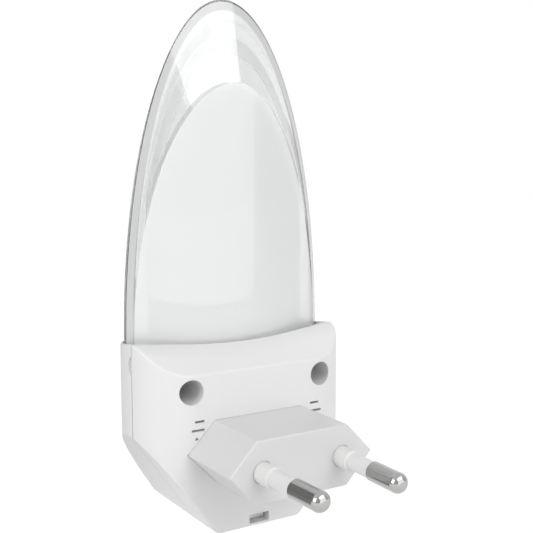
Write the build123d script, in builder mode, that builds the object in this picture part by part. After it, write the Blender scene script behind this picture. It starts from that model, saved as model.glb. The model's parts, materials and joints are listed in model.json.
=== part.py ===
from build123d import *
import os
from math import sqrt

# Plug-in night light: a D-shaped housing with a two-pin wall plug on its flat back,
# and a clear domed lens standing in a curved slot on top of it.
# Millimetres, +Z up, +Y towards the wall. The origin is the middle of the plug's
# engagement face. "Depth" runs from that face into the light, so it is -Y.

os.makedirs("parts", exist_ok=True)

# ---------------------------------------------------------------- driving dimensions
# Wall pins
pin_spacing = 18.6            # between the pin axes at the plug face
pin_tip_spacing = 17.5        # the pins lean together towards their tips
pin_length = 19.5
pin_radius = 2.0
pin_tip_rounding = 1.5
pin_core_radius = 1.2         # the shank inside the insulating sleeve
pin_shoulder_radius = 2.3
pin_shoulder_length = 2.0     # locks the pin behind its sleeve
pin_tail_radius = 1.0
pin_rivet_length = 0.6        # tail left proud of the contact strip
sleeve_radius = 1.75
sleeve_length = 10.7
collar_radius = 2.2
collar_length = 4.2
collar_bevel = 0.35
collar_clearance = 0.08
sleeve_flange_width = 0.8     # the sleeve's inner end grips its post by this much
sleeve_flange_thickness = 1.0

# Plug body
plug_half_width = 16.8
plug_half_height = 6.4
plug_flat_half_width = 10.6
plug_depth = 16.6             # from the engagement face to the housing's back
plug_wall = 2.0
plug_face_thickness = 2.6
plug_edge_rounding = 0.4
plug_flange_width = 1.3
plug_flange_thickness = 1.5
plug_clearance = 0.05
sleeve_post_radius = 4.0
sleeve_post_depth = 13.0

# Housing
housing_half_width = 25.0
housing_top = 22.2
housing_bottom = -18.1
housing_front_depth = 48.0
rear_corner_radius = 10.5
parting_depth = 25.4          # where the rear cover meets the front cover
wall = 2.0
slant_top = 2.7               # the lower sides slant in below this height
bottom_half_width = 10.3
bottom_corner_radius = 2.5
edge_rounding = 0.5
shadow_gap_width = 0.25
shadow_gap_depth = 0.45
lip_thickness = 1.0
lip_length = 1.6
lip_clearance = 0.1

# Scooped shoulder between the slot and the back
crease_drop = 6.0             # heights in the upper half are measured down from the housing's top
shoulder_run = 9.7            # from the crease to where its slope would meet the top, on the centre line
shoulder_rounding = 20.0      # between that slope and the top
shoulder_side_start = 0.3     # just beyond the sides the slope starts this much deeper
shoulder_side_run = 6.9
shoulder_side_rounding = 4.0
shoulder_reach = 1.0          # how far the form runs past the sides
top_fall = 0.13               # the top falls forward by this share of its length

# Lens
lens_rim = 0.8                # the lens stands this far inside the housing's outline
lens_height = 71.5
lens_base_drop = 1.1          # the arches spring from here
lens_joint_setback = 5.2      # from the parting line to the plane where dome and back panel meet
lens_wall = 2.0
lens_seat_drop = 4.7
panel_rise = 4.6              # the convex back panel's rearmost line stands this far behind that plane
panel_edge = 0.5              # straight edge left at the panel's sides
bevel_depth = 19.0            # from the joint plane to the tip of the cone that bevels the border
bevel_share = 0.7             # size of the bevel's small end before the panel cuts it off
slot_clearance = 0.2
slot_edge_setback = 1.1       # its rear edge is this far behind the parting line on the centre line
slot_corner_setback = 1.0     # and this far in front of it at its ends
trough_thickness = 1.6        # floor under the lens foot
trough_wall = 1.2             # upright wall behind the lens foot
bridge_clearance = 0.3        # the floor ends this far behind the main board

# Fastening
screw_spacing = 31.4
screw_drop = 9.4
screw_recess_radius = 2.6
screw_recess_depth = 11.0
screw_web = 1.6
screw_tube_wall = 1.6
screw_head_radius = 2.4
screw_head_height = 1.8
screw_shank_radius = 1.35
screw_length = 9.0
screw_hole_clearance = 0.25
screw_pilot_clearance = 0.05
screw_pilot_reserve = 1.0     # blind hole left beyond the screw's point
screw_boss_radius = 3.4
boss_rib_thickness = 1.4
drive_width = 0.7
drive_length = 3.0
drive_depth = 0.9

# Latch at the foot
latch_half_width = 2.45
latch_bottom = -17.45
latch_top = -15.5
latch_arm_thickness = 0.9
latch_clearance = 0.15
latch_pocket_depth = 3.0
latch_keeper_width = 1.0      # the pocket's surround inside the back wall
latch_keeper_thickness = 2.2
latch_barb_height = 0.7
latch_barb_rise = 0.2         # height that the barb's sloped face starts at
latch_setback = 2.2
latch_root_length = 2.5

# Pry notch in the parting line
notch_drop = 4.5
notch_length = 4.2
notch_depth = 1.4
notch_cut = 0.6

# Vents beside the plug: two slits over a short one
vent_thickness = 0.5
vent_pitch = 1.77
vent_top_height = 6.6
vent_inner = 12.95            # inner ends of the two slits
vent_top_length = 2.2
vent_middle_length = 2.9
vent_short_inner = 14.5
vent_short_length = 0.6

# Boards
board_thickness = 1.6
board_gap = 1.0               # between the covers' locating lip and the main board
board_half_width = 17.0
board_headroom = 0.6          # between the board and the tubes that sink the cover screws
board_bottom = -11.5
board_clearance = 0.5
tongue_half_width = 10.0
tongue_rise = 0.4             # how far the tongue stands above the lamp board
led_board_drop = 5.6
led_board_setback = 4.8       # from the housing's front
led_board_rounding = 1.0
board_screw_spacing = 28.0
board_screw_height = -3.5
board_post_radius = 2.4
board_screw_radius = 1.0
board_screw_head_radius = 1.9
board_screw_head_height = 1.3
board_screw_length = 7.0
led_rib_half_spacing = 7.5
led_rib_thickness = 1.6
led_rib_reach = 3.5           # the ribs run this far under the lamp board
led_rib_height = 7.0

# Lamps
led_radius = 2.4
led_flange_radius = 2.7
led_flange_height = 0.9
led_height = 4.0
led_pitch = 5.6
led_count = 4
led_share = 0.4               # place of the row between the lens joint and the housing's front
led_hole_clearance = 0.3
tray_thickness = 1.2
tray_drop = 0.3               # the tray lies this far below the springing line of the lens
tray_clearance = 0.3
tray_foot_radius = 1.0
tray_foot_half_spacing = 10.0
tray_foot_inset = 1.2         # from the ends of the lamp board

# Leads of the parts on the boards
lead_radius = 0.3
lead_hole_clearance = 0.1
lead_pitch = 2.54
solder_tail = 1.2

# Light sensor behind the front window
window_radius = 3.5
window_clearance = 0.1
window_height = 1.0
window_flange_radius = 4.6
window_flange_thickness = 1.0
window_recess = 0.3
window_rounding = 0.3
pipe_radius = 2.0
sensor_radius = 2.5
sensor_thickness = 2.0
sensor_standoff = 3.0
sensor_gap = 0.3

# Mains parts on the main board
film_width = 13.0
film_thickness = 6.0
film_height = 11.0
film_pitch = 10.0
film_x = -4.5
film_z = -5.0
smoothing_radius = 3.15
smoothing_length = 11.0
smoothing_x = 7.0
smoothing_z = -6.0
smoothing_groove = 0.3
part_rounding = 0.4
resistor_radius = 1.3
resistor_length = 6.5
resistor_pitch = 10.0
surge_resistor_x = -6.2
discharge_resistor_x = 6.2
resistor_drop = 1.9           # below the board's top
zener_radius = 0.95
zener_length = 3.9
zener_pitch = 6.0
zener_x = 13.6
axial_gap = 0.3               # between the board and a lying part
lead_bend = 0.7
transistor_radius = 2.3
transistor_flat = 1.5         # from the middle to the flat
transistor_height = 4.6
transistor_pitch = 1.27
transistor_standoff = 1.5
transistor_x = -14.2
diode_length = 4.3
diode_width = 2.6
diode_height = 2.2
diode_bevel = 0.25
diode_foot_length = 0.4
diode_foot_width = 1.5
diode_foot_height = 1.1
diode_count = 4
diode_pitch = 3.1
diode_x = -4.5
diode_bottom_z = -9.2
contact_width = 3.0
contact_thickness = 0.5
contact_height = 2.2          # the strip runs this far above the pin's axis
contact_drop = 2.0            # and starts this far below it
contact_bend = 0.6
contact_slot_clearance = 0.15
contact_tail = 0.8

# ---------------------------------------------------------------- derived places
crease_height = housing_top - crease_drop
lens_base_height = housing_top - lens_base_drop
lens_seat_height = housing_top - lens_seat_drop
screw_height = housing_top - screw_drop
notch_height = housing_top - notch_drop
led_board_top = housing_top - led_board_drop
board_top = screw_height - screw_recess_radius - screw_tube_wall - board_headroom
resistor_z = board_top - resistor_drop
upper_z = (board_top + board_screw_height + board_screw_head_radius) / 2     # zener diode and transistor
pin_half_spacing = pin_spacing / 2
pin_lean = (pin_half_spacing - pin_tip_spacing / 2) / pin_length
widest_depth = plug_depth + rear_corner_radius
front_half_depth = housing_front_depth - widest_depth
overall = 8 * housing_half_width          # longer than anything it cuts
sleeve_end_depth = sleeve_post_depth + sleeve_flange_thickness
sleeve_flange_radius = collar_radius + sleeve_flange_width
rear_flat_half_width = housing_half_width - rear_corner_radius
pin_shoulder_depth = sleeve_end_depth + pin_shoulder_length
pin_end_depth = pin_shoulder_depth + contact_thickness + pin_rivet_length
recess_floor_depth = plug_depth + screw_recess_depth
boss_depth = recess_floor_depth + screw_web
lens_joint_depth = parting_depth + lens_joint_setback
slot_edge_depth = parting_depth - slot_edge_setback
slot_corner_depth = parting_depth + slot_corner_setback
board_depth = parting_depth + lip_length + board_gap      # rear face of the main board
board_front = board_depth + board_thickness
bridge_front_depth = board_depth - bridge_clearance
led_board_front_depth = housing_front_depth - led_board_setback
led_board_half_width = screw_spacing / 2 - screw_boss_radius - board_clearance
led_depth = lens_joint_depth + led_share * (housing_front_depth - lens_joint_depth)
led_rib_depth = led_board_front_depth - led_rib_reach
trough_floor = lens_seat_height - trough_thickness
led_board_bottom = led_board_top - board_thickness
tongue_top = led_board_top + tongue_rise
tray_top = lens_base_height - tray_drop
tray_bottom = tray_top - tray_thickness
sensor_face_depth = board_front + sensor_standoff + sensor_thickness
window_seat_depth = housing_front_depth - wall
joint_share = sqrt(1 - ((lens_joint_depth - widest_depth) / (front_half_depth - lens_rim)) ** 2)
lens_half_width = (housing_half_width - lens_rim) * joint_share      # in the joint plane
panel_depth = lens_joint_depth - panel_rise
panel_bow = panel_rise - panel_edge
panel_radius = (lens_half_width**2 + panel_bow**2) / (2 * panel_bow)
notch_radius = (notch_length**2 / 4 + notch_depth**2) / (2 * notch_depth)
screw_places = [(screw_spacing / 2, screw_height), (-screw_spacing / 2, screw_height)]
vents = [
    (vent_inner, vent_top_length),
    (vent_inner, vent_middle_length),
    (vent_short_inner, vent_short_length),
]
board_screw_places = [
    (board_screw_spacing / 2, board_screw_height),
    (-board_screw_spacing / 2, board_screw_height),
]
led_places = [(led_pitch * (number - (led_count - 1) / 2), -led_depth) for number in range(led_count)]


def pair(x, z, pitch, upright=False):
    """Two places about a middle, side by side or one above the other."""
    if upright:
        return [(x, z - pitch / 2), (x, z + pitch / 2)]
    return [(x - pitch / 2, z), (x + pitch / 2, z)]


film_leads = pair(film_x, film_z, film_pitch)
smoothing_leads = pair(smoothing_x, smoothing_z, lead_pitch)
surge_leads = pair(surge_resistor_x, resistor_z, resistor_pitch)
discharge_leads = pair(discharge_resistor_x, resistor_z, resistor_pitch)
zener_leads = pair(zener_x, upper_z, zener_pitch, upright=True)
sensor_leads = pair(0, window_height, lead_pitch)
transistor_leads = pair(transistor_x, upper_z, 2 * transistor_pitch) + [(transistor_x, upper_z)]


# ---------------------------------------------------------------- shared forms
def housing_plan(inset):
    """Outline from above: flat back, round rear corners, elliptical front."""
    half = housing_half_width - inset
    radius = rear_corner_radius - inset
    flat = half - radius
    back = plug_depth + inset
    depth = front_half_depth - inset
    with BuildSketch() as plan:
        with BuildLine():
            EllipticalCenterArc((0, -widest_depth), half, depth, start_angle=180, arc_size=180)
            CenterArc((flat, -widest_depth), radius, 0, 90)
            Line((flat, -back), (-flat, -back))
            CenterArc((-flat, -widest_depth), radius, 90, 90)
        make_face()
    return plan.sketch


def housing_shield(inset):
    """Outline from the front: straight sides that slant in to a narrow foot."""
    with BuildSketch() as shield:
        with BuildLine():
            Polyline(
                (housing_half_width, overall),
                (housing_half_width, slant_top),
                (bottom_half_width, housing_bottom),
                (-bottom_half_width, housing_bottom),
                (-housing_half_width, slant_top),
                (-housing_half_width, overall),
                close=True,
            )
        make_face()
        fillet(shield.vertices().group_by(Axis.Y)[0], radius=bottom_corner_radius)
        if inset:
            offset(amount=-inset, kind=Kind.INTERSECTION)
    return shield.sketch


def crown(drop):
    """Everything below the shoulder and the top, both lowered by a drop."""
    reach = housing_half_width + shoulder_reach
    top = housing_top - drop
    near = plug_depth - shoulder_reach
    edge_line = (plug_depth + shoulder_side_start, shoulder_side_run, shoulder_side_rounding)
    middle_line = (plug_depth, shoulder_run, shoulder_rounding)
    with BuildPart() as form:
        for x, (start, run, rounding) in ((-reach, edge_line), (0, middle_line), (reach, edge_line)):
            slope = (housing_top - crease_height) / run
            ridge = start + run
            with BuildSketch(Plane.YZ.offset(x)) as profile:
                with BuildLine():
                    Polyline(
                        (-near, -overall),
                        (-near, crease_height - drop - slope * (start - near)),
                        (-ridge, top),
                        (-overall, top - top_fall * (overall - ridge)),
                        (-overall, -overall),
                        close=True,
                    )
                make_face()
                fillet(profile.vertices().sort_by_distance((-ridge, top))[0], radius=rounding)
        loft()
    return form.part


def housing_form(inset):
    """The closed outer form of the two covers, or the same form inset all round."""
    with BuildPart() as form:
        with BuildSketch(Plane.XY.offset(housing_bottom)):
            add(housing_plan(inset))
        extrude(amount=overall)
        with BuildSketch(Plane.XZ):
            add(housing_shield(inset))
        extrude(amount=overall, mode=Mode.INTERSECT)
        add(crown(inset), mode=Mode.INTERSECT)
    return form.part


def slice_of(form, near, far, low=-overall, high=overall):
    """The stretch of a form between two depths and two heights."""
    with BuildPart() as piece:
        add(form)
        with BuildSketch(Plane.XZ.offset(near)):
            with Locations((0, (low + high) / 2)):
                Rectangle(2 * overall, high - low)
        extrude(amount=far - near, mode=Mode.INTERSECT)
    return piece.part


def lens_plan(grow):
    """The dome from above: an ellipse inside the housing's own, in front of the joint plane."""
    half = housing_half_width - lens_rim + grow
    depth = front_half_depth - lens_rim + grow
    with BuildSketch() as plan:
        with Locations((0, -widest_depth)):
            Ellipse(half, depth)
        with Locations((0, -lens_joint_depth)):
            Rectangle(overall, overall, align=(Align.CENTER, Align.MAX), mode=Mode.INTERSECT)
    return plan.sketch


def slot_plan(grow):
    """The slot in the top of the housing: the lens plan, run back to a curved edge."""
    half = lens_half_width + slot_clearance + grow
    corner = slot_corner_depth - grow
    with BuildSketch() as plan:
        add(lens_plan(slot_clearance + grow))
        with BuildLine():
            ThreePointArc((half, -corner), (0, grow - slot_edge_depth), (-half, -corner))
            Polyline((-half, -corner), (-half, -lens_joint_depth), (half, -lens_joint_depth), (half, -corner))
        make_face()
    return plan.sketch


def pegs(plane, places, radius, length):
    """Round pegs of one radius and length, standing on a plane."""
    with BuildPart() as group:
        with BuildSketch(plane):
            with Locations(*places):
                Circle(radius)
        extrude(amount=length)
    return group.part


def leads_through_board(places, height):
    """Leads from a standing part down through the main board, with solder tails."""
    start = board_depth - solder_tail
    return pegs(Plane.XZ.offset(start), places, lead_radius, board_front + height - start)


def pin_side_plane(side):
    """Upright plane along a leaning pin: local x towards the wall, local y up."""
    start = (side * pin_half_spacing, 0, 0)
    return Plane(origin=start, x_dir=(-side * pin_lean, 1, 0), z_dir=(1, side * pin_lean, 0))


def pin_axis(side):
    """Axis of a leaning pin, from the plug face towards the wall."""
    return Axis((side * pin_half_spacing, 0, 0), (-side * pin_lean, 1, 0))


def pin_cross_plane(side, depth):
    """Plane square to a leaning pin at a depth along it, facing into the light."""
    axis = pin_axis(side).direction
    origin = pin_axis(side).position - axis * depth
    return Plane(origin=origin, x_dir=(0, 0, 1), z_dir=-axis)


def plug_outline(grow):
    """The plug body's flat hexagon, grown or shrunk all round."""
    with BuildSketch() as outline:
        with BuildLine():
            Polyline(
                (plug_half_width, 0),
                (plug_flat_half_width, plug_half_height),
                (-plug_flat_half_width, plug_half_height),
                (-plug_half_width, 0),
                (-plug_flat_half_width, -plug_half_height),
                (plug_flat_half_width, -plug_half_height),
                close=True,
            )
        make_face()
        if grow:
            offset(amount=grow, kind=Kind.INTERSECTION)
    return outline.sketch


def axial_part(x, z, upright, radius, length, pitch):
    """A round body lying on the main board, on one bent lead from hole to hole."""
    along = (0, 0, 1) if upright else (1, 0, 0)
    across = (1, 0, 0) if upright else (0, 0, -1)
    bench = Plane(origin=(x, -board_front, z), x_dir=along, z_dir=across)
    axis_height = radius + axial_gap
    lead_end = -board_thickness - solder_tail
    with BuildPart() as piece:
        with BuildLine(bench) as path:
            FilletPolyline(
                (-pitch / 2, lead_end),
                (-pitch / 2, axis_height),
                (pitch / 2, axis_height),
                (pitch / 2, lead_end),
                radius=lead_bend,
            )
        with BuildSketch(Plane(origin=path.line @ 0, z_dir=path.line % 0)):
            Circle(lead_radius)
        sweep(path=path.line)
        with BuildSketch(bench) as body:
            with Locations((0, axis_height + radius / 2)):
                Rectangle(length, radius)
            fillet(body.vertices().group_by(Axis.Y)[-1], radius=part_rounding)
        middle = bench.origin + bench.y_dir * axis_height
        revolve(axis=Axis(middle, bench.x_dir))
    return piece.part


def cross_screw(plane, head_radius, head_height, shank_radius, length):
    """A pan-head screw on its seat plane: the head stands up from it, the shank goes down."""
    with BuildPart() as screw:
        with BuildSketch(plane):
            Circle(head_radius)
        extrude(amount=head_height)
        fillet(screw.edges().sort_by(Axis(plane.origin, plane.z_dir))[-1], radius=part_rounding)
        with BuildSketch(plane.offset(head_height)):
            Rectangle(drive_length * head_radius / screw_head_radius, drive_width)
            Rectangle(drive_width, drive_length * head_radius / screw_head_radius)
        extrude(amount=-drive_depth, mode=Mode.SUBTRACT)
        with BuildSketch(plane):
            Circle(shank_radius)
        extrude(amount=-length)
        chamfer(screw.edges().sort_by(Axis(plane.origin, plane.z_dir))[0], length=shank_radius / 2)
    return screw.part


sides = ((1, "line"), (-1, "neutral"))

# ---------------------------------------------------------------- housing body
# The outer form with its edges softened; both covers are cut from it.
with BuildPart() as housing_body:
    add(housing_form(0))
    lower_edges = housing_body.edges().filter_by(lambda edge: edge.center().Z < slant_top - edge_rounding)
    fillet(lower_edges, radius=edge_rounding)
    crease = housing_body.edges().filter_by_position(
        Axis.Z, crease_height - edge_rounding, crease_height + edge_rounding
    )
    fillet(crease.sort_by(Axis.Y)[-1], radius=edge_rounding)

housing_inside = housing_form(wall)
shadow_inside = housing_form(shadow_gap_depth)
lip_outside = housing_form(wall + lip_clearance)
lip_inside = housing_form(wall + lip_clearance + lip_thickness)

# ---------------------------------------------------------------- rear cover
with BuildPart() as rear_cover:
    add(slice_of(housing_body.part, 0, parting_depth))
    add(housing_inside, mode=Mode.SUBTRACT)

    # Locating lip: rooted on the wall behind the parting line, free in front of it
    lip_top = trough_floor - board_clearance
    add(slice_of(housing_inside, parting_depth - lip_length, parting_depth, high=lip_top))
    add(slice_of(lip_outside, parting_depth, parting_depth + lip_length, high=lip_top))
    add(slice_of(lip_inside, 0, overall), mode=Mode.SUBTRACT)

    # Trough behind the lens foot: a floor, and a wall that follows the slot's edge
    with BuildPart(mode=Mode.PRIVATE) as trough:
        with BuildSketch(Plane.XY.offset(trough_floor)):
            add(slot_plan(trough_wall))
        extrude(amount=overall)
    add(slice_of(trough.part & housing_body.part, 0, parting_depth))

    # Tubes that sink the cover screws
    with BuildPart(mode=Mode.PRIVATE) as tubes:
        add(pegs(Plane.XZ, screw_places, screw_recess_radius + screw_tube_wall, boss_depth))
        add(housing_body.part, mode=Mode.INTERSECT)
    add(tubes.part)
    add(pegs(Plane.XZ, screw_places, screw_recess_radius, recess_floor_depth), mode=Mode.SUBTRACT)
    shank_hole = screw_shank_radius + screw_hole_clearance
    add(pegs(Plane.XZ, screw_places, shank_hole, boss_depth), mode=Mode.SUBTRACT)

    # Slot for the lens, opening for the plug body
    with BuildSketch(Plane.XY.offset(lens_seat_height)):
        add(slot_plan(0))
    extrude(amount=overall, mode=Mode.SUBTRACT)
    with BuildSketch(Plane.XZ):
        add(plug_outline(plug_clearance))
    extrude(amount=plug_depth + 2 * wall, mode=Mode.SUBTRACT)

    # Vents on both sides of the plug
    with BuildSketch(Plane.XZ):
        for row, (inner, length) in enumerate(vents):
            height = vent_top_height - row * vent_pitch
            with Locations((inner + length / 2, height), (-inner - length / 2, height)):
                Rectangle(length, vent_thickness)
    extrude(amount=plug_depth + 2 * wall, mode=Mode.SUBTRACT)

    # Latch: a keeper on the back wall, a pocket for the barb, and a lower channel for the arm
    channel_top = latch_bottom + latch_clearance + latch_arm_thickness + latch_clearance
    keeper_bottom = housing_bottom + wall / 2
    keeper_top = latch_top + latch_keeper_width
    with BuildSketch(Plane.XZ.offset(plug_depth + wall / 2)):
        with Locations((0, (keeper_bottom + keeper_top) / 2)):
            Rectangle(2 * (latch_half_width + latch_keeper_width), keeper_top - keeper_bottom)
    extrude(amount=wall / 2 + latch_keeper_thickness)
    with BuildSketch(Plane.XZ.offset(plug_depth)):
        with Locations((0, (latch_bottom + latch_top) / 2)):
            Rectangle(2 * latch_half_width, latch_top - latch_bottom)
    extrude(amount=latch_pocket_depth, mode=Mode.SUBTRACT)
    with BuildSketch(Plane.XZ.offset(plug_depth)):
        with Locations((0, (latch_bottom + channel_top) / 2)):
            Rectangle(2 * latch_half_width, channel_top - latch_bottom)
    extrude(amount=parting_depth - plug_depth, mode=Mode.SUBTRACT)
rear_cover.part.label = "rear_cover"
export_step(rear_cover.part, "parts/rear_cover.step")

# ---------------------------------------------------------------- front cover
with BuildPart() as front_cover:
    add(slice_of(housing_body.part, parting_depth, overall))
    add(housing_inside, mode=Mode.SUBTRACT)

    # Floor that bridges the cover behind the lens foot, cleared round the screw tubes
    with BuildPart(mode=Mode.PRIVATE) as bridge:
        add(slice_of(housing_body.part, parting_depth, bridge_front_depth, trough_floor, lens_seat_height))
        tube_space = screw_recess_radius + screw_tube_wall + screw_hole_clearance
        add(pegs(Plane.XZ, screw_places, tube_space, boss_depth + screw_hole_clearance), mode=Mode.SUBTRACT)
    add(bridge.part)

    # Bosses for the cover screws, each tied to the side wall by a rib
    with BuildPart(mode=Mode.PRIVATE) as bosses:
        add(pegs(Plane.XZ.offset(boss_depth), screw_places, screw_boss_radius, overall))
        with BuildSketch(Plane.XZ.offset(boss_depth)):
            with Locations((0, screw_height)):
                Rectangle(2 * housing_half_width, boss_rib_thickness)
                Rectangle(screw_spacing, boss_rib_thickness, mode=Mode.SUBTRACT)
        extrude(amount=overall)
        add(housing_body.part, mode=Mode.INTERSECT)
    add(bosses.part)

    # Posts that carry the main board, and ribs that carry the lamp board
    with BuildPart(mode=Mode.PRIVATE) as posts:
        add(pegs(Plane.XZ.offset(board_front), board_screw_places, board_post_radius, overall))
        with BuildSketch(Plane.XZ.offset(led_rib_depth)):
            with Locations(
                (led_rib_half_spacing, led_board_bottom - led_rib_height / 2),
                (-led_rib_half_spacing, led_board_bottom - led_rib_height / 2),
            ):
                Rectangle(led_rib_thickness, led_rib_height)
        extrude(amount=overall)
        add(housing_body.part, mode=Mode.INTERSECT)
    add(posts.part)

    # Blind pilot holes for both pairs of screws
    pilot_radius = screw_shank_radius + screw_pilot_clearance
    pilot_depth = screw_length - screw_web + screw_pilot_reserve
    add(pegs(Plane.XZ.offset(boss_depth), screw_places, pilot_radius, pilot_depth), mode=Mode.SUBTRACT)
    board_pilot_radius = board_screw_radius + screw_pilot_clearance
    board_pilot_depth = board_screw_length - board_thickness + screw_pilot_reserve
    add(
        pegs(Plane.XZ.offset(board_front), board_screw_places, board_pilot_radius, board_pilot_depth),
        mode=Mode.SUBTRACT,
    )

    # Slot for the lens
    with BuildSketch(Plane.XY.offset(lens_seat_height)):
        add(slot_plan(0))
    extrude(amount=overall, mode=Mode.SUBTRACT)

    # Shadow gap round the parting line, and a notch on each side to prise the covers apart
    with BuildPart(mode=Mode.PRIVATE) as shadow_ring:
        add(slice_of(housing_form(0), parting_depth, parting_depth + shadow_gap_width))
        add(shadow_inside, mode=Mode.SUBTRACT)
    add(shadow_ring.part, mode=Mode.SUBTRACT)
    for side, _ in sides:
        with BuildSketch(Plane.YZ.offset(side * (housing_half_width - notch_cut))):
            with Locations((notch_radius - parting_depth - notch_depth, notch_height)):
                Circle(notch_radius)
        extrude(amount=side * overall, mode=Mode.SUBTRACT)

    # Window for the light sensor, with a flat seat inside
    with BuildSketch(Plane.XZ.offset(board_front)):
        with Locations((0, window_height)):
            Circle(window_flange_radius + window_clearance)
    extrude(amount=window_seat_depth - board_front, mode=Mode.SUBTRACT)
    with BuildSketch(Plane.XZ.offset(board_front)):
        with Locations((0, window_height)):
            Circle(window_radius + window_clearance)
    extrude(amount=overall, mode=Mode.SUBTRACT)

    # Latch arm at the foot, with its barb
    arm_bottom = latch_bottom + latch_clearance
    arm_top = arm_bottom + latch_arm_thickness
    arm_end = plug_depth + latch_setback
    barb_face = plug_depth + latch_pocket_depth - latch_clearance
    with BuildSketch(Plane.YZ):
        with BuildLine():
            Polyline(
                (-arm_end, arm_bottom),
                (-arm_end, arm_top + latch_barb_rise),
                (-barb_face, arm_top + latch_barb_height),
                (-barb_face, arm_top),
                (-parting_depth - latch_root_length, arm_top),
                (-parting_depth - latch_root_length, arm_bottom),
                close=True,
            )
        make_face()
    extrude(amount=latch_half_width - latch_clearance, both=True)
front_cover.part.label = "front_cover"
export_step(front_cover.part, "parts/front_cover.step")

# ---------------------------------------------------------------- plug body
with BuildPart() as plug_body:
    with BuildSketch(Plane.XZ):
        add(plug_outline(0))
    extrude(amount=plug_depth + wall + plug_flange_thickness)
    nose = plug_body.edges().group_by(Axis.Y)[-1] + plug_body.edges().filter_by(Axis.Y)
    fillet(nose, radius=plug_edge_rounding)
    with BuildSketch(Plane.XZ.offset(plug_depth + wall)):
        add(plug_outline(plug_flange_width))
        Rectangle(2 * (rear_flat_half_width - plug_clearance), overall, mode=Mode.INTERSECT)
    extrude(amount=plug_flange_thickness)
    with BuildSketch(Plane.XZ.offset(plug_face_thickness)):
        add(plug_outline(-plug_wall))
    extrude(amount=overall, mode=Mode.SUBTRACT)
    for side, _ in sides:
        with BuildSketch(pin_cross_plane(side, plug_face_thickness / 2)):
            Circle(sleeve_post_radius)
        extrude(amount=sleeve_post_depth - plug_face_thickness / 2)
    for side, _ in sides:
        with BuildSketch(pin_cross_plane(side, -plug_face_thickness)):
            Circle(collar_radius + collar_clearance)
        extrude(amount=overall, mode=Mode.SUBTRACT)
plug_body.part.label = "plug_body"
export_step(plug_body.part, "parts/plug_body.step")

# ---------------------------------------------------------------- pins, sleeves and contact strips
for side, name in sides:
    with BuildPart() as pin:
        with BuildSketch(pin_side_plane(side)) as pin_profile:
            with BuildLine():
                Polyline(
                    (pin_length, 0),
                    (pin_length, pin_radius),
                    (sleeve_length, pin_radius),
                    (sleeve_length, pin_core_radius),
                    (-sleeve_end_depth, pin_core_radius),
                    (-sleeve_end_depth, pin_shoulder_radius),
                    (-pin_shoulder_depth, pin_shoulder_radius),
                    (-pin_shoulder_depth, pin_tail_radius),
                    (-pin_end_depth, pin_tail_radius),
                    (-pin_end_depth, 0),
                    close=True,
                )
            make_face()
        revolve(axis=pin_axis(side))
        tip = pin.edges().filter_by(GeomType.CIRCLE).sort_by(Axis.Y)[-1]
        fillet(tip, radius=pin_tip_rounding)
    pin.part.label = f"{name}_pin"
    export_step(pin.part, f"parts/{name}_pin.step")

    with BuildPart() as sleeve:
        with BuildSketch(pin_side_plane(side)):
            with BuildLine():
                Polyline(
                    (sleeve_length, pin_core_radius),
                    (sleeve_length, sleeve_radius),
                    (collar_length, sleeve_radius),
                    (collar_length, collar_radius - collar_bevel),
                    (collar_length - collar_bevel, collar_radius),
                    (-sleeve_post_depth, collar_radius),
                    (-sleeve_post_depth, sleeve_flange_radius),
                    (-sleeve_end_depth, sleeve_flange_radius),
                    (-sleeve_end_depth, pin_core_radius),
                    close=True,
                )
            make_face()
        revolve(axis=pin_axis(side))
    sleeve.part.label = f"{name}_pin_sleeve"
    export_step(sleeve.part, f"parts/{name}_pin_sleeve.step")

    strip_middle = -pin_shoulder_depth - contact_thickness / 2
    with BuildPart() as contact:
        with BuildSketch(pin_side_plane(side)):
            with BuildLine():
                FilletPolyline(
                    (strip_middle, -contact_drop),
                    (strip_middle, contact_height),
                    (-board_front - contact_tail, contact_height),
                    radius=contact_bend,
                )
            trace(line_width=contact_thickness)
        extrude(amount=contact_width / 2, both=True)
        with BuildSketch(pin_cross_plane(side, pin_shoulder_depth)):
            Circle(pin_tail_radius)
        extrude(amount=contact_thickness, mode=Mode.SUBTRACT)
    contact.part.label = f"{name}_contact"
    export_step(contact.part, f"parts/{name}_contact.step")

# ---------------------------------------------------------------- main board
with BuildPart() as main_board:
    with BuildSketch(Plane.XZ.offset(board_depth)):
        with Locations((0, (board_top + board_bottom) / 2)):
            Rectangle(2 * board_half_width, board_top - board_bottom)
        add(housing_shield(wall + board_clearance), mode=Mode.INTERSECT)
        with Locations((0, tongue_top / 2)):
            Rectangle(2 * tongue_half_width, tongue_top)
    extrude(amount=board_thickness)
    board_hole = board_screw_radius + screw_hole_clearance
    add(pegs(Plane.XZ, board_screw_places, board_hole, overall), mode=Mode.SUBTRACT)
    lead_places = film_leads + smoothing_leads + surge_leads + discharge_leads
    lead_places += zener_leads + sensor_leads + transistor_leads
    add(pegs(Plane.XZ, lead_places, lead_radius + lead_hole_clearance, overall), mode=Mode.SUBTRACT)
    for side, _ in sides:
        strip = pin_axis(side).position - pin_axis(side).direction * board_depth
        with BuildSketch(Plane.XZ):
            with Locations((strip.X, contact_height)):
                Rectangle(
                    contact_width + 2 * contact_slot_clearance,
                    contact_thickness + 2 * contact_slot_clearance,
                )
        extrude(amount=overall, mode=Mode.SUBTRACT)
main_board.part.label = "main_board"
export_step(main_board.part, "parts/main_board.step")

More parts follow.
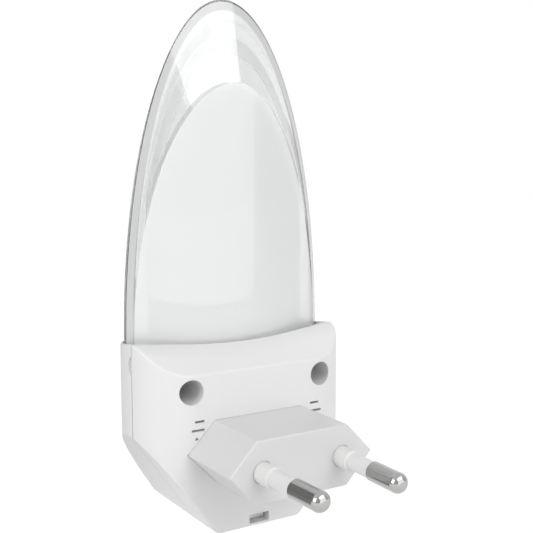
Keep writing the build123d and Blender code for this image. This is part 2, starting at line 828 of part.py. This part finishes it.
# ---------------------------------------------------------------- lamp board and its lamps
with BuildPart() as led_board:
    board_length = led_board_front_depth - board_front
    with BuildSketch(Plane.XY.offset(led_board_bottom)) as led_board_plan:
        with Locations((0, -board_front - board_length / 2)):
            Rectangle(2 * led_board_half_width, board_length)
        fillet(led_board_plan.vertices().group_by(Axis.Y)[0], radius=led_board_rounding)
    extrude(amount=board_thickness)
    for x, y in led_places:
        holes = pair(x, y, lead_pitch)
        add(pegs(Plane.XY, holes, lead_radius + lead_hole_clearance, overall), mode=Mode.SUBTRACT)
led_board.part.label = "led_board"
export_step(led_board.part, "parts/led_board.step")

for number, (x, y) in enumerate(led_places, start=1):
    with BuildPart() as led:
        with BuildSketch(Plane.XZ.offset(-y)):
            with BuildLine():
                dome_base = led_board_top + led_height - led_radius
                dome = CenterArc((x, dome_base), led_radius, 0, 90)
                Polyline(
                    dome @ 1,
                    (x, led_board_top),
                    (x + led_flange_radius, led_board_top),
                    (x + led_flange_radius, led_board_top + led_flange_height),
                    (x + led_radius, led_board_top + led_flange_height),
                    dome @ 0,
                )
            make_face()
        revolve(axis=Axis((x, y, 0), (0, 0, 1)))
        tail = Plane.XY.offset(led_board_bottom - solder_tail)
        add(pegs(tail, pair(x, y, lead_pitch), lead_radius, board_thickness + solder_tail))
    led.part.label = f"led_{number}"
    export_step(led.part, f"parts/led_{number}.step")

# ---------------------------------------------------------------- reflector tray round the lamps
with BuildPart() as reflector_tray:
    with BuildSketch(Plane.XY.offset(tray_bottom)):
        add(lens_plan(-lens_wall - tray_clearance))
        with Locations(*led_places):
            Circle(led_radius + led_hole_clearance, mode=Mode.SUBTRACT)
    extrude(amount=tray_thickness)
    feet = [
        (side * tray_foot_half_spacing, depth)
        for side, _ in sides
        for depth in (-board_front - tray_foot_inset, -led_board_front_depth + tray_foot_inset)
    ]
    add(pegs(Plane.XY.offset(led_board_top), feet, tray_foot_radius, tray_bottom - led_board_top))
reflector_tray.part.label = "reflector_tray"
export_step(reflector_tray.part, "parts/reflector_tray.step")


# ---------------------------------------------------------------- lens
def bulb(inset):
    """Ellipsoid over the dome's plan, with its middle at the springing line."""
    half = housing_half_width - lens_rim - inset
    depth = front_half_depth - lens_rim - inset
    with BuildPart() as form:
        Sphere(1)
        scale(by=(half, depth, lens_height / joint_share - inset))
    return form.part


def lens_arch(size, depth):
    """Half ellipse on the straight foot of the lens, across it at a depth."""
    half = lens_half_width * size
    foot = lens_seat_height - lens_base_height
    with BuildSketch(Plane.XZ.offset(depth)) as arch:
        with Locations((0, lens_base_height)):
            Ellipse(half, lens_height * size)
            Rectangle(2 * half, overall, align=(Align.CENTER, Align.MAX), mode=Mode.SUBTRACT)
        with Locations((0, lens_seat_height)):
            Rectangle(2 * half, -foot, align=(Align.CENTER, Align.MIN))
    return arch.sketch


def panel_form(shift):
    """Cone through the arch, cut off behind by an upright cylinder, moved forward by a shift."""
    small_end = lens_joint_depth - bevel_depth * (1 - bevel_share)
    with BuildPart() as form:
        add(lens_arch(1, lens_joint_depth + shift))
        add(lens_arch(bevel_share, small_end + shift))
        loft(ruled=True)
        with BuildSketch(Plane.XY):
            with Locations((0, -panel_depth - panel_radius - shift)):
                Circle(panel_radius)
        extrude(amount=overall, mode=Mode.INTERSECT)
    return form.part


with BuildPart() as lens_dome:
    with Locations((0, -widest_depth, lens_base_height)):
        add(bulb(0))
        add(bulb(lens_wall), mode=Mode.SUBTRACT)
    split(bisect_by=Plane.XZ.offset(lens_joint_depth), keep=Keep.TOP)
    split(bisect_by=Plane.XY.offset(lens_base_height), keep=Keep.TOP)
    with BuildSketch(Plane.XY.offset(lens_seat_height)):
        add(lens_plan(0))
        add(lens_plan(-lens_wall), mode=Mode.SUBTRACT)
    extrude(amount=lens_base_height - lens_seat_height)
lens_dome.part.label = "lens_dome"
export_step(lens_dome.part, "parts/lens_dome.step")

with BuildPart() as lens_panel:
    add(panel_form(0))
    add(panel_form(lens_wall), mode=Mode.SUBTRACT)
lens_panel.part.label = "lens_panel"
export_step(lens_panel.part, "parts/lens_panel.step")

# ---------------------------------------------------------------- light sensor and its light pipe
with BuildPart() as light_pipe:
    with BuildSketch(Plane.XZ.offset(sensor_face_depth + sensor_gap)):
        with Locations((0, window_height)):
            Circle(pipe_radius)
    extrude(amount=window_seat_depth - sensor_face_depth - sensor_gap)
    with BuildSketch(Plane.XZ.offset(window_seat_depth)):
        with Locations((0, window_height)):
            Circle(window_flange_radius)
    extrude(amount=-window_flange_thickness)
    with BuildSketch(Plane.XZ.offset(window_seat_depth)):
        with Locations((0, window_height)):
            Circle(window_radius)
    extrude(amount=wall - window_recess)
    fillet(light_pipe.edges().sort_by(Axis.Y)[0], radius=window_rounding)
light_pipe.part.label = "light_pipe"
export_step(light_pipe.part, "parts/light_pipe.step")

with BuildPart() as light_sensor:
    with BuildSketch(Plane.XZ.offset(sensor_face_depth)):
        with Locations((0, window_height)):
            Circle(sensor_radius)
    extrude(amount=-sensor_thickness)
    add(leads_through_board(sensor_leads, sensor_standoff))
light_sensor.part.label = "light_sensor"
export_step(light_sensor.part, "parts/light_sensor.step")

# ---------------------------------------------------------------- capacitors and transistor
with BuildPart() as film_capacitor:
    with BuildSketch(Plane.XZ.offset(board_front)):
        with Locations((film_x, film_z)):
            Rectangle(film_width, film_thickness)
    extrude(amount=film_height)
    case_edges = film_capacitor.edges().group_by(Axis.Y)[0] + film_capacitor.edges().filter_by(Axis.Y)
    fillet(case_edges, radius=part_rounding)
    add(leads_through_board(film_leads, 0))
film_capacitor.part.label = "film_capacitor"
export_step(film_capacitor.part, "parts/film_capacitor.step")

with BuildPart() as smoothing_capacitor:
    can = Plane.XZ.offset(board_front)
    groove_depth = board_front + 4 * smoothing_groove
    add(pegs(can, [(smoothing_x, smoothing_z)], smoothing_radius, smoothing_length))
    rim = smoothing_capacitor.edges().filter_by(GeomType.CIRCLE)
    fillet(rim, radius=part_rounding)
    with BuildSketch(Plane.XZ.offset(groove_depth)):
        with Locations((smoothing_x, smoothing_z)):
            Circle(smoothing_radius)
            Circle(smoothing_radius - smoothing_groove, mode=Mode.SUBTRACT)
    extrude(amount=smoothing_groove, mode=Mode.SUBTRACT)
    add(leads_through_board(smoothing_leads, smoothing_groove))
smoothing_capacitor.part.label = "smoothing_capacitor"
export_step(smoothing_capacitor.part, "parts/smoothing_capacitor.step")

with BuildPart() as switching_transistor:
    with BuildSketch(Plane.XZ.offset(board_front + transistor_standoff)):
        with Locations((transistor_x, upper_z)):
            Circle(transistor_radius)
        with Locations((transistor_x, upper_z - transistor_flat)):
            Rectangle(overall, overall, align=(Align.CENTER, Align.MAX), mode=Mode.SUBTRACT)
    extrude(amount=transistor_height)
    add(leads_through_board(transistor_leads, transistor_standoff))
switching_transistor.part.label = "switching_transistor"
export_step(switching_transistor.part, "parts/switching_transistor.step")

# ---------------------------------------------------------------- parts lying on the board
lying_parts = (
    ("surge_resistor", surge_resistor_x, resistor_z, False, resistor_radius, resistor_length, resistor_pitch),
    ("discharge_resistor", discharge_resistor_x, resistor_z, False, resistor_radius, resistor_length,
     resistor_pitch),
    ("zener_diode", zener_x, upper_z, True, zener_radius, zener_length, zener_pitch),
)
for name, *shape in lying_parts:
    piece = axial_part(*shape)
    piece.label = name
    export_step(piece, f"parts/{name}.step")

# ---------------------------------------------------------------- rectifier diodes on the solder side
for number in range(diode_count):
    z = diode_bottom_z + number * diode_pitch
    with BuildPart() as diode:
        with BuildSketch(Plane.XZ.offset(board_depth)):
            with Locations((diode_x, z)):
                Rectangle(diode_length, diode_width)
        extrude(amount=-diode_height)
        chamfer(diode.edges().group_by(Axis.Y)[-1], length=diode_bevel)
        with BuildSketch(Plane.XZ.offset(board_depth)):
            with Locations((diode_x, z)):
                Rectangle(diode_length + 2 * diode_foot_length, diode_foot_width)
        extrude(amount=-diode_foot_height)
    diode.part.label = f"rectifier_diode_{number + 1}"
    export_step(diode.part, f"parts/rectifier_diode_{number + 1}.step")

# ---------------------------------------------------------------- screws, driven from behind
screw_sets = (
    ("cover_screws", screw_places, recess_floor_depth, screw_head_radius, screw_head_height,
     screw_shank_radius, screw_length),
    ("board_screws", board_screw_places, board_depth, board_screw_head_radius, board_screw_head_height,
     board_screw_radius, board_screw_length),
)
for name, places, seat_depth, *shape in screw_sets:
    with BuildPart() as screws:
        for x, z in places:
            seat = Plane(origin=(x, -seat_depth, z), x_dir=(1, 0, 0), z_dir=(0, 1, 0))
            add(cross_screw(seat, *shape))
    screws.part.label = name
    export_step(screws.part, f"parts/{name}.step")
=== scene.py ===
"""Looks of a plug-in night light around its CAD frame. Metres, +Z up, +Y towards the wall."""

import json
import math

import bpy
from mathutils import Matrix, Vector

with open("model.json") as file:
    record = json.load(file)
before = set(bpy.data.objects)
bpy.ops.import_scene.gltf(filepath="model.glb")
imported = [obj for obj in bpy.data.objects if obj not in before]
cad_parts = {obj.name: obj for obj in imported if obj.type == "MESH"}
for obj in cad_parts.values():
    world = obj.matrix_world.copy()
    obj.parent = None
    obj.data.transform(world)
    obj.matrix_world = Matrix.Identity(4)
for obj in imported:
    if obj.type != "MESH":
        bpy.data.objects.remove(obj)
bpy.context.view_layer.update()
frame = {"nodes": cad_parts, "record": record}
nodes = frame["nodes"]

MM = 0.001

# ------------------------------------------------------------------ shader expressions


class Value:
    """A shader socket that takes part in sums and products."""

    def __init__(self, finish, socket):
        self.finish = finish
        self.socket = socket

    def _math(self, operation, first, second=None):
        node = self.finish.tree.nodes.new("ShaderNodeMath")
        node.operation = operation
        for place, item in enumerate((first, second)):
            if item is not None:
                self.finish.feed(node.inputs[place], item)
        return Value(self.finish, node.outputs[0])

    def __add__(self, other):
        return self._math("ADD", self, other)

    def __radd__(self, other):
        return self._math("ADD", other, self)

    def __sub__(self, other):
        return self._math("SUBTRACT", self, other)

    def __rsub__(self, other):
        return self._math("SUBTRACT", other, self)

    def __mul__(self, other):
        return self._math("MULTIPLY", self, other)

    def __rmul__(self, other):
        return self._math("MULTIPLY", other, self)

    def __gt__(self, other):
        return self._math("GREATER_THAN", self, other)

    def size(self):
        """Its distance from zero."""
        return self._math("ABSOLUTE", self)

    def larger(self, other):
        return self._math("MAXIMUM", self, other)


class Finish:
    """One material: its node tree, its surface shader, and short ways to add to it."""

    def __init__(self, name, world=None):
        self.material = world or bpy.data.materials.new(name)
        self.material.use_nodes = True
        self.tree = self.material.node_tree
        self.tree.nodes.clear()
        kind = "ShaderNodeOutputWorld" if world else "ShaderNodeOutputMaterial"
        self.output = self.tree.nodes.new(kind)

    def feed(self, socket, item):
        """Links a value into a socket, or sets the socket to a plain value."""
        if isinstance(item, Value):
            self.tree.links.new(item.socket, socket)
        elif isinstance(item, bpy.types.NodeSocket):
            self.tree.links.new(item, socket)
        elif isinstance(item, tuple) and len(item) == 3 and socket.type == "RGBA":
            socket.default_value = (*item, 1.0)
        else:
            socket.default_value = item

    def node(self, kind, settings=None, sockets=None, output=0):
        """Adds a node: its settings first, then what its sockets hold. Returns one output."""
        node = self.tree.nodes.new(kind)
        for name, setting in (settings or {}).items():
            setattr(node, name, setting)
        for name, item in (sockets or {}).items():
            self.feed(node.inputs[name], item)
        return Value(self, node.outputs[output])

    def place(self):
        """Where a point of the piece lies, in metres."""
        return self.node("ShaderNodeTexCoord", output=3)

    def axis(self, letter, vector=None):
        """One coordinate of that place, or of another vector."""
        sockets = {"Vector": vector or self.place()}
        return self.node("ShaderNodeSeparateXYZ", sockets=sockets, output="XYZ".index(letter))

    def vector_math(self, operation, first, second=None, output=0):
        """A Vector Math node; output 1 is the number that a product or a length gives."""
        sockets = {0: first} if second is None else {0: first, 1: second}
        return self.node("ShaderNodeVectorMath", {"operation": operation}, sockets, output)

    def smooth_step(self, value, low, high):
        """0 up to the low value, 1 from the high one, and an even rise between them."""
        sockets = {"Value": value, "From Min": low, "From Max": high}
        return self.node("ShaderNodeMapRange", {"interpolation_type": "SMOOTHSTEP"}, sockets)

    def noise(self, scale, detail=2.0, roughness=0.5):
        """Soft random grain between 0 and 1, with so many lumps to a metre."""
        sockets = {"Vector": self.place(), "Scale": scale, "Detail": detail, "Roughness": roughness}
        return self.node("ShaderNodeTexNoise", sockets=sockets)

    def wave(self, direction, scale, distortion=1.0, detail=2.0):
        """Even ripples along one axis, between 0 and 1."""
        settings = {"wave_type": "BANDS", "bands_direction": direction}
        sockets = {
            "Vector": self.place(),
            "Scale": scale,
            "Distortion": distortion,
            "Detail": detail,
        }
        return self.node("ShaderNodeTexWave", settings, sockets, output=1)

    def blend_colour(self, share, first, second):
        """Mixes two colours."""
        node = self.tree.nodes.new("ShaderNodeMix")
        node.data_type = "RGBA"
        self.feed(node.inputs[0], share)
        self.feed(node.inputs[6], first)
        self.feed(node.inputs[7], second)
        return Value(self, node.outputs[2])

    def bump(self, height, distance):
        """Turns a height between 0 and 1 into a surface normal."""
        sockets = {"Height": height, "Distance": distance, "Strength": 1.0}
        return self.node("ShaderNodeBump", sockets=sockets)

    def principled(self, **sockets):
        """The usual surface shader; names use _ for the spaces."""
        named = {name.replace("_", " "): item for name, item in sockets.items()}
        return self.node("ShaderNodeBsdfPrincipled", sockets=named)

    def mix_shader(self, share, first, second):
        """Part of one shader, the rest of another."""
        return self.node("ShaderNodeMixShader", sockets={0: share, 1: first, 2: second})

    def surface(self, shader):
        """Ends the material with this shader."""
        self.tree.links.new(shader.socket, self.output.inputs["Surface"])
        return self.material


# ------------------------------------------------------------------ finishes


def moulded_plastic(name, colour, roughness, grain_depth=0.004 * MM):
    """Injection-moulded plastic with a fine eroded grain and faint flow mottling."""
    finish = Finish(name)
    mottle = finish.noise(90.0, detail=3.0)
    fine = finish.noise(6500.0, detail=3.0, roughness=0.6)
    shader = finish.principled(
        Base_Color=finish.blend_colour(mottle, darker(colour, 0.98), colour),
        Roughness=roughness + (finish.noise(700.0) - 0.5) * 0.08,
        IOR=1.5,
        Normal=finish.bump(fine, grain_depth),
    )
    return finish.surface(shader)


def darker(colour, share):
    """The same hue, dimmed to a share of its strength."""
    return tuple(share * channel for channel in colour)


def plated_pin():
    """Bright nickel plate on turned brass, with faint rings and wiping marks along the pin."""
    finish = Finish("plated_pin")
    rings = finish.wave("Y", 900.0, distortion=1.5, detail=1.0)
    wiped = finish.noise(420.0, detail=3.0)
    shader = finish.principled(
        Base_Color=finish.blend_colour(wiped, darker(nickel, 0.89), nickel),
        Metallic=1.0,
        Roughness=0.07 + wiped * 0.07,
        Normal=finish.bump(rings, 0.0012 * MM),
    )
    return finish.surface(shader)


nickel = (0.45, 0.445, 0.44)


def plain_metal(name, colour, roughness):
    """Plated or rolled metal with faint blotches."""
    finish = Finish(name)
    blotch = finish.noise(900.0, detail=3.0)
    shader = finish.principled(
        Base_Color=finish.blend_colour(blotch, darker(colour, 0.9), colour),
        Metallic=1.0,
        Roughness=roughness + (blotch - 0.5) * 0.15,
    )
    return finish.surface(shader)


def clear_plastic(name, tint, milk, ripple_depth=0.006 * MM):
    """Clear moulding, a little milky, with a slow ripple from the mould."""
    finish = Finish(name)
    ripple = finish.bump(finish.noise(70.0, detail=1.0), ripple_depth)
    clear = finish.principled(
        Base_Color=tint,
        Roughness=0.015,
        IOR=acrylic_ior,
        Transmission_Weight=1.0,
        Normal=ripple,
    )
    milky = finish.principled(
        Base_Color=milk_white,
        Roughness=0.03,
        IOR=acrylic_ior,
        Normal=ripple,
    )
    cloud = milk * (0.9 + finish.noise(60.0) * 0.2)
    return finish.surface(finish.mix_shader(cloud, clear, milky))


milk_white = (0.86, 0.875, 0.87)
acrylic_ior = 1.49


def lens_back():
    """Back of the lens: milky inside its arch, clearer on the bevel round it, glossy all over."""
    finish = Finish("lens_back")
    x = finish.axis("X")
    depth = finish.axis("Y") * -1.0
    rise = finish.axis("Z") - arch_spring
    outer_face = inner_face_depth - depth > 0.0
    bow = (x * x) * (1.0 / (2.0 * panel_radius))
    share = 1.0 - (panel_rise - bow) * (1.0 / bevel_depth)
    across = x * (1.0 / arch_half_width)
    upward = rise * (1.0 / arch_height) * (rise > 0.0)
    inside = share * share - across * across - upward * upward
    frosted = finish.smooth_step(inside, 0.0, arch_edge_softness) * outer_face
    glued = finish.smooth_step(depth, glue_start, glue_full) * (1.0 - frosted) * outer_face
    cloud = finish.noise(150.0, detail=1.0) * 0.02
    clear = finish.principled(
        Base_Color=finish.blend_colour(frosted, bevel_tint, panel_tint),
        Roughness=0.02 + frosted * (0.30 + cloud),
        IOR=acrylic_ior,
        Transmission_Weight=1.0,
        Coat_Weight=1.0,
        Coat_Roughness=0.02,
        Coat_IOR=acrylic_ior,
    )
    milky = finish.principled(
        Base_Color=milk_white,
        Roughness=0.25 + cloud,
        IOR=acrylic_ior,
        Coat_Weight=1.0,
        Coat_Roughness=0.02,
        Coat_IOR=acrylic_ior,
    )
    milk = bevel_milk + frosted * (panel_milk - bevel_milk) + glued * (glue_milk - bevel_milk)
    return finish.surface(finish.mix_shader(milk, clear, milky))


# The arch, the bowed panel inside it, and the cone that bevels its border
arch_half_width = 23.83 * MM
arch_height = 71.5 * MM
arch_spring = 21.1 * MM
arch_edge_softness = 0.012
panel_rise = 4.6 * MM
panel_radius = 71.3 * MM
bevel_depth = 19.0 * MM
# Where the panel is glued to the dome, measured forward from the wall
inner_face_depth = 30.5 * MM
glue_start = 29.25 * MM
glue_full = 29.75 * MM
# How milky each part of it is
bevel_milk = 0.10
glue_milk = 0.68
panel_milk = 0.75
bevel_tint = (0.95, 0.96, 0.96)
panel_tint = (0.90, 0.92, 0.91)


def tinned_lead(finish, body_colour, mask, body_roughness):
    """A body colour where the mask is 1 and bright tinned wire where it is 0."""
    tin = (0.72, 0.72, 0.71)
    scuffs = finish.noise(1200.0, detail=2.0)
    return finish.principled(
        Base_Color=finish.blend_colour(mask, tin, body_colour),
        Metallic=1.0 - mask,
        Roughness=body_roughness + scuffs * 0.1,
    )


def circuit_laminate():
    """Green solder mask over glass cloth, with the copper showing through as lighter bands."""
    finish = Finish("board_laminate")
    across = finish.wave("X", 620.0)
    upright = finish.wave("Z", 620.0)
    cloth = across * 0.5 + upright * 0.5
    tracks = finish.noise(230.0, detail=0.0) > 0.55
    green = finish.blend_colour(tracks, mask_green, mask_over_copper)
    shader = finish.principled(
        Base_Color=finish.blend_colour(cloth * 0.25, green, glass_cloth_green),
        Roughness=0.32 + cloth * 0.08,
        Normal=finish.bump(cloth + tracks, 0.01 * MM),
    )
    return finish.surface(shader)


mask_green = (0.035, 0.13, 0.06)
mask_over_copper = (0.06, 0.2, 0.09)
glass_cloth_green = (0.10, 0.26, 0.13)


def white_laminate():
    """White solder mask, a little uneven where the tracks run below it."""
    finish = Finish("lamp_board_white")
    tracks = finish.noise(260.0, detail=0.0) > 0.52
    shader = finish.principled(
        Base_Color=finish.blend_colour(tracks, (0.78, 0.79, 0.77), (0.84, 0.84, 0.82)),
        Roughness=0.3 + finish.noise(900.0) * 0.1,
        Normal=finish.bump(tracks, 0.012 * MM),
    )
    return finish.surface(shader)


def cased_part(name, colour, body_front, roughness, speckle=0.9):
    """A cased part standing on the main board: its leads start behind the board's front face."""
    finish = Finish(name)
    body = finish.axis("Y") * -1.0 > body_front
    grain = finish.noise(1600.0, detail=3.0)
    tone = finish.blend_colour(grain, darker(colour, speckle), colour)
    return finish.surface(tinned_lead(finish, tone, body, roughness))


def banded_resistor(name, middles, half_length, bands, body_colour):
    """Lacquered bodies with painted value bands; the wire beside them stays tinned."""
    finish = Finish(name)
    x = finish.axis("X")
    paint = body_colour
    body = 0.0
    for middle in middles:
        along = x - middle
        body = body + (half_length - along.size() > 0.0)
        for place, colour in bands:
            stripe = band_share * half_length - (along - place * half_length).size() > 0.0
            paint = finish.blend_colour(stripe, paint, colour)
    return finish.surface(tinned_lead(finish, paint, body, 0.3))


band_share = 0.075  # half a band's width, as a share of half the body's length


def sensor_face():
    """Light sensor: a reddish track that winds over a pale ceramic disc."""
    finish = Finish("sensor_ceramic")
    winding = finish.wave("Z", 260.0, distortion=0.0)
    inside = (track_half_width - finish.axis("X").size()) > 0.0
    track = (winding > 0.5) * inside
    shader = finish.principled(
        Base_Color=finish.blend_colour(track, ceramic, track_red),
        Roughness=0.35 + finish.noise(1500.0) * 0.1,
        Normal=finish.bump(track, 0.02 * MM),
    )
    return finish.surface(shader)


track_half_width = 1.5 * MM
ceramic = (0.72, 0.66, 0.58)
track_red = (0.55, 0.2, 0.1)

white_shell = (0.80, 0.805, 0.80)
plug_white = (0.70, 0.705, 0.70)
sleeve_white = (0.77, 0.77, 0.765)
# Leads start behind these depths from the wall
board_front = 29.6 * MM
board_back = 26.0 * MM
finishes = {
    "housing_plastic": moulded_plastic("housing_plastic", white_shell, 0.42),
    "plug_plastic": moulded_plastic("plug_plastic", plug_white, 0.36),
    "sleeve_plastic": moulded_plastic("sleeve_plastic", sleeve_white, 0.4, 0.002 * MM),
    "pin_metal": plated_pin(),
    "clear_acrylic": clear_plastic("clear_acrylic", (0.96, 0.97, 0.97), 0.12),
    "opal_acrylic": lens_back(),
    "contact_brass": plain_metal("contact_brass", (0.78, 0.6, 0.27), 0.3),
    "screw_steel": plain_metal("screw_steel", (0.42, 0.42, 0.43), 0.35),
    "board_laminate": circuit_laminate(),
    "lamp_board_white": white_laminate(),
    "lamp_epoxy": clear_plastic("lamp_epoxy", (0.95, 0.95, 0.85), 0.5, ripple_depth=0.002 * MM),
    "tray_white": moulded_plastic("tray_white", (0.84, 0.84, 0.83), 0.3, 0.002 * MM),
    "film_case": cased_part("film_case", (0.62, 0.46, 0.07), board_front, 0.3),
    "can_sleeve": cased_part("can_sleeve", (0.03, 0.035, 0.05), board_front, 0.25, 0.7),
    "resistor_lacquer": banded_resistor(
        "resistor_lacquer",
        middles=(-6.2 * MM, 6.2 * MM),
        half_length=3.3 * MM,
        bands=(
            (-0.62, (0.55, 0.08, 0.03)),
            (-0.28, (0.04, 0.03, 0.03)),
            (0.06, (0.75, 0.50, 0.05)),
            (0.62, (0.50, 0.36, 0.12)),
        ),
        body_colour=(0.30, 0.50, 0.58),
    ),
    "zener_glass": cased_part("zener_glass", (0.65, 0.22, 0.06), board_front, 0.15),
    "black_epoxy": cased_part("black_epoxy", (0.03, 0.03, 0.033), board_back, 0.5, 0.8),
    "sensor_ceramic": sensor_face(),
}
slot_of = {part["node"]: part["material_slot"] for part in frame["record"]["subparts"]}
for name, piece in nodes.items():
    for slot in piece.material_slots:
        slot.material = finishes[slot_of[name]]

# ------------------------------------------------------------------ room, lights, camera


def rays(finish, *kinds):
    """1 for rays of these kinds, and 0 for others."""
    path = finish.node("ShaderNodeLightPath").socket.node
    share = Value(finish, path.outputs[kinds[0]])
    for kind in kinds[1:]:
        share = share.larger(Value(finish, path.outputs[kind]))
    return share


def opening(finish, direction):
    """The dark side of the studio, which only shiny metal shows: 1 well inside it."""
    toward = finish.vector_math("DOT_PRODUCT", direction, dark_direction, output=1)
    return finish.smooth_step(toward, dark_edge, dark_core)


dark_direction = Vector((0.317, -0.939, 0.14)).normalized()
dark_edge = math.cos(math.radians(44))
dark_core = math.cos(math.radians(36))
dark_depth = 0.68


def room():
    """White surroundings with one dark opening, and a fuller light on the front."""
    world = bpy.data.worlds.new("studio")
    bpy.context.scene.world = world
    finish = Finish("studio", world)
    seen = rays(finish, "Is Camera Ray", "Is Transmission Ray")
    glossy = rays(finish, "Is Glossy Ray") * (1.0 - seen)
    direction = finish.node("ShaderNodeTexCoord", output=0)
    behind = finish.axis("Y", direction)
    ambient = ambient_level + front_fill * (behind * -1.0).larger(0.0)
    open_side = 1.0 - opening(finish, direction) * dark_depth
    shine = open_side * (1.0 - dim_behind * behind.larger(0.0))
    strength = seen + glossy * shine + (1.0 - seen) * (1.0 - glossy) * ambient
    sockets = {"Color": white, "Strength": strength}
    finish.surface(finish.node("ShaderNodeBackground", sockets=sockets))


white = (1.0, 1.0, 1.0)
ambient_level = 0.3
front_fill = 0.75
dim_behind = 0.45
room()


def pale_floor():
    """A pale floor that takes the object's shadow, and is white where nothing shades it."""
    mesh = bpy.data.meshes.new("floor")
    half = floor_size / 2
    corners = [
        (-half, -half, floor_height),
        (half, -half, floor_height),
        (half, half, floor_height),
        (-half, half, floor_height),
    ]
    mesh.from_pydata(corners, [], [(0, 1, 2, 3)])
    floor = bpy.data.objects.new("floor", mesh)
    bpy.context.scene.collection.objects.link(floor)
    finish = Finish("floor_white")
    painted = finish.principled(Base_Color=floor_paint, Roughness=0.9)
    reach = finish.vector_math("LENGTH", finish.place(), output=1)
    far = finish.smooth_step(reach, 0.0, lift_reach)
    seen = rays(finish, "Is Camera Ray", "Is Transmission Ray", "Is Glossy Ray")
    sockets = {"Color": white, "Strength": seen * (lift_below + far * (lift_far - lift_below))}
    lift = finish.node("ShaderNodeEmission", sockets=sockets)
    lit = finish.node("ShaderNodeAddShader", sockets={0: painted, 1: lift})
    away = finish.vector_math("SUBTRACT", finish.place(), pins_middle)
    shaded = opening(finish, finish.vector_math("NORMALIZE", away)) * dark_depth
    unlit = finish.node("ShaderNodeEmission", sockets={"Strength": 0.0})
    dark_share = shaded * rays(finish, "Is Glossy Ray")
    finish.surface(finish.mix_shader(dark_share, lit, unlit))
    mesh.materials.append(finish.material)


floor_height = -95 * MM
floor_size = 4.0
floor_paint = (0.72, 0.72, 0.72)
# What the floor lacks of white, below the object and far from it
lift_below = 0.43
lift_far = 0.65
lift_reach = 0.9
pins_middle = (0.0, 10 * MM, 0.0)
pale_floor()


def softbox(name, position, target, width, height, power):
    """A rectangular area lamp that faces a point."""
    lamp = bpy.data.lights.new(name, "AREA")
    lamp.shape = "RECTANGLE"
    lamp.size = width
    lamp.size_y = height
    lamp.energy = power
    piece = bpy.data.objects.new(name, lamp)
    bpy.context.scene.collection.objects.link(piece)
    aim = Vector(target) - Vector(position)
    piece.rotation_euler = aim.to_track_quat("-Z", "Y").to_euler()
    piece.location = position


middle = (0.0, -20 * MM, 37 * MM)
softbox("left_box", (0.750, 0.080, 0.320), middle, 0.5, 0.5, 2.9)
softbox("right_box", (-0.171, 0.597, 0.155), middle, 0.59, 0.49, 1.15)
softbox("high_box", (-0.124, 0.553, 0.572), middle, 0.8, 0.45, 2.6)

# The camera stands behind the light, to its left, and looks slightly down.
camera_yaw = math.radians(32.0)
camera_pitch = math.radians(7.08)
camera_roll = math.radians(0.086)
camera_position = Vector((101.555, 148.882, 61.431)) * MM
focal_pixels = 950.12
frame_pixels = 533
sensor_width = 36.0


def main_camera():
    """The main camera, close to the object, with its small roll."""
    lens = bpy.data.cameras.new("camera")
    lens.sensor_width = sensor_width
    lens.lens = focal_pixels / frame_pixels * sensor_width
    lens.clip_start = 0.005
    camera = bpy.data.objects.new("camera", lens)
    bpy.context.scene.collection.objects.link(camera)
    level = math.cos(camera_pitch)
    forward = Vector((
        -math.sin(camera_yaw) * level,
        -math.cos(camera_yaw) * level,
        -math.sin(camera_pitch),
    ))
    flat_right = forward.cross(Vector((0.0, 0.0, 1.0))).normalized()
    flat_down = forward.cross(flat_right)
    cos_roll = math.cos(camera_roll)
    sin_roll = math.sin(camera_roll)
    right = cos_roll * flat_right + sin_roll * flat_down
    down = cos_roll * flat_down - sin_roll * flat_right
    turn = Matrix((right, -down, -forward)).transposed().to_4x4()
    camera.matrix_world = Matrix.Translation(camera_position) @ turn
    bpy.context.scene.camera = camera


main_camera()
bpy.context.scene.view_settings.view_transform = "Standard"
